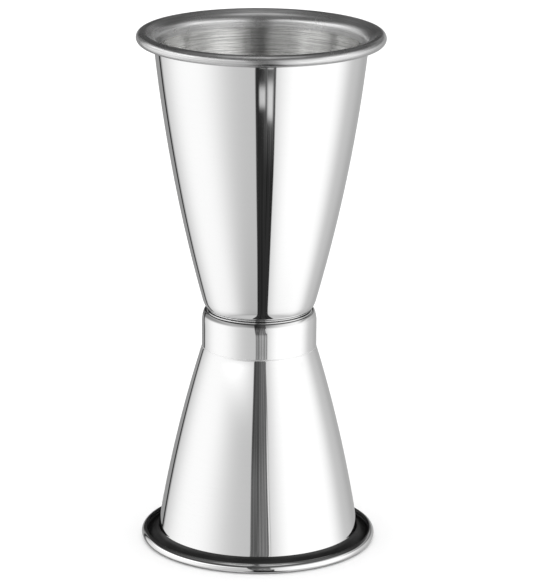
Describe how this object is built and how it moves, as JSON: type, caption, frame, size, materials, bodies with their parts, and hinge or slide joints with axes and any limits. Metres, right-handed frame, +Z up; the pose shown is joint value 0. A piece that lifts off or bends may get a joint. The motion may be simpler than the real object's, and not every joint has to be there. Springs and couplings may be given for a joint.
{
  "type": "bar jigger",
  "caption": "Double-ended spirit measure: a tall steel cup and a shorter one joined foot to foot at a straight neck, each mouth flared to a rolled rim.",
  "frame": {"origin": "centre of the small cup's mouth plane, which the jigger stands on", "axes": "+Z up the common axis of the cups, towards the large cup's mouth; X and Y are equivalent except that one spot weld lies on +X"},
  "size_m": [0.0476, 0.0476, 0.101],
  "materials": {
    "polished_steel": "mirror polished outside, fine circumferential polishing lines inside",
    "weld_metal": "dull fused metal with a faint heat tint round it"
  },
  "bodies": {
    "root": {"large_cup": "polished_steel", "small_cup": "polished_steel", "spot_weld_nuggets": "weld_metal"}
  },
  "joints": []
}
